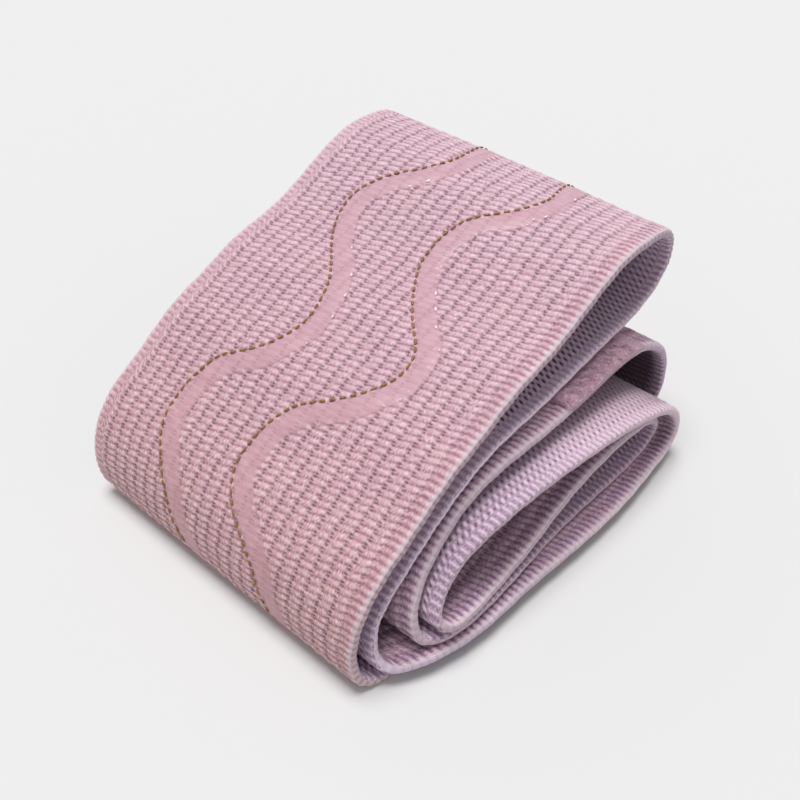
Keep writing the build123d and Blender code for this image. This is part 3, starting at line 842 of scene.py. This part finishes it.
# lap end of the seam: a softer, felted end over the outer middle ply, up to the turn
s_start = S0["middle_ply_outer"] - 6.0
s = np.arange(s_start, s_lap, 0.45)
s = np.append(s, s_lap)
aa = np.concatenate([np.arange(-0.25, 26, 0.4), np.arange(26, WIDTH - 0.6, 1.2)])
S, A = np.meshgrid(s, aa, indexing="ij")
fuzz = 0.13 * np.sin(S * 4.1 + A * 2.2) * np.sin(A * 3.7 - S * 0.8) + 0.24 * np.sin(S * 1.9 + 1.7 * np.sin(A * 1.1)) + 0.18 * np.sin(A * 2.6 + 1.3 * np.sin(S * 1.5)) + 0.07 * rng.standard_normal(S.shape)
rim = smooth(A, -0.4, 1.4)
endround = 1 - smooth(S, s_lap - 1.3, s_lap + 0.15)
ramp_in = smooth(S, s_start, s_start + 6.0)
Ht = T / 2 + 0.14 + ramp_in * ((1.05 + 0.45 * smooth(S, s_lap - 5, s_lap - 1)) * np.sqrt(np.clip(endround, 0, 1)) * (0.3 + 0.7 * rim)) + fuzz * 0.8 * ramp_in
slant = 0.30 * (A - 9) * smooth(S, s_start + 12, s_lap) * (A < 30) + 2.0 * (A >= 30) * smooth(S, s_start + 12, s_lap)
top = place(S + slant * 0.4, A, Ht)
bottom = place(S + slant * 0.4, A, T / 2 - 0.25 - 0.75 * (1 - smooth(A, 0.0, 1.2)) * ramp_in * endround)
P = np.concatenate([top, bottom[:, ::-1]], 1)
uv = np.concatenate([np.stack([S, A], -1), np.stack([S, A[:, ::-1] + 100], -1)], 1)
uv = np.concatenate([uv, uv[:, :1]], 1)
lap = grid_mesh("lap_end", P, uv, [LAPM], np.zeros(P.shape[1], int))
lap = close_ends(lap, *P.shape[:2])
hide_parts("seam_lap_end")
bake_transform(lap)

rows = []
for s_row in (s_lap - 2.5, s_lap - 19.5):
    y = 2.5
    while y < WIDTH - 2:
        p, d, n = frame_at(s_row, y, T / 2 + 1.02, 0.0, 1.0)
        rows.append((p, d, n, 0.0016, 0.0005, 0.0004))
        y += 2.6
# loose fibres on the felted end
hairs = []
for _ in range(900):
    sh = random.uniform(s_start + 4, s_lap - 0.2)
    ah = random.uniform(-0.1, 7.0) if random.random() < 0.8 else random.uniform(7, 40)
    w = random.uniform(0, 2 * math.pi)
    lift = T / 2 + 1.0 + random.uniform(0.1, 0.45) - 0.5 * (1 - float(smooth(ah, -0.4, 1.4)))
    p, d, n = frame_at(sh, ah, lift, math.cos(w), math.sin(w))
    tilt = random.uniform(-0.35, 0.35)
    d = d * math.cos(tilt) + n * math.sin(tilt)
    n = n - d * np.dot(n, d)
    n /= np.linalg.norm(n)
    hairs.append((p, d, n, random.uniform(0.8, 2.1) * 0.001, 0.00016, 0.00016))
fibres = capsules("lap_fibres", hairs, THREAD, sides=4)
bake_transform(fibres)
seam = capsules("seam_stitching_thread", rows, THREAD)
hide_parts("seam_stitching")
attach(seam, "inner_roll")

# ------------------------------------------------------------------ floor, light, camera
bpy.ops.mesh.primitive_plane_add(size=6.0, location=(0, 0, -0.0002))
floor = bpy.context.object
floor.name = "floor"
k = Nodes("floor")
n = k.noise(3.0, 2.0, 0.5)
k.put(k.b.inputs["Base Color"], k.mix(n, (0.712, 0.712, 0.712, 1), (0.716, 0.716, 0.716, 1)))
k.b.inputs["Roughness"].default_value = 0.95
k.b.inputs["Specular IOR Level"].default_value = 0.0
floor.data.materials.append(k.mat)

world = bpy.data.worlds.new("studio")
bpy.context.scene.world = world
world.use_nodes = True
world.node_tree.nodes["Background"].inputs[0].default_value = (1.0, 0.995, 0.995, 1)
world.node_tree.nodes["Background"].inputs[1].default_value = 0.42


def sun(name, direction, angle, power):
    light = bpy.data.lights.new(name, "SUN")
    light.angle = math.radians(angle)
    light.energy = power
    ob = bpy.data.objects.new(name, light)
    bpy.context.collection.objects.link(ob)
    ob.location = (0, 0, 1)
    ob.rotation_euler = Vector(direction).to_track_quat("Z", "Y").to_euler()
    return ob


sun("key", (0.05, 0.16, 1.0), 28, 2.55)

scene = bpy.context.scene
scene.view_settings.view_transform = "Standard"
scene.view_settings.look = "None"
cam = bpy.data.cameras.new("camera")
cam.lens = 904.287 / 800 * 36
cam.sensor_width = 36
cam.clip_start = 0.01
camera = bpy.data.objects.new("camera", cam)
bpy.context.collection.objects.link(camera)
az, el = math.radians(-49.293), math.radians(44.29)
back = Vector((math.sin(az) * math.cos(el), -math.cos(az) * math.cos(el), math.sin(el)))
camera.location = (-0.113945, -0.09494, 0.163367)
camera.rotation_euler = back.to_track_quat("Z", "Y").to_euler()
scene.camera = camera
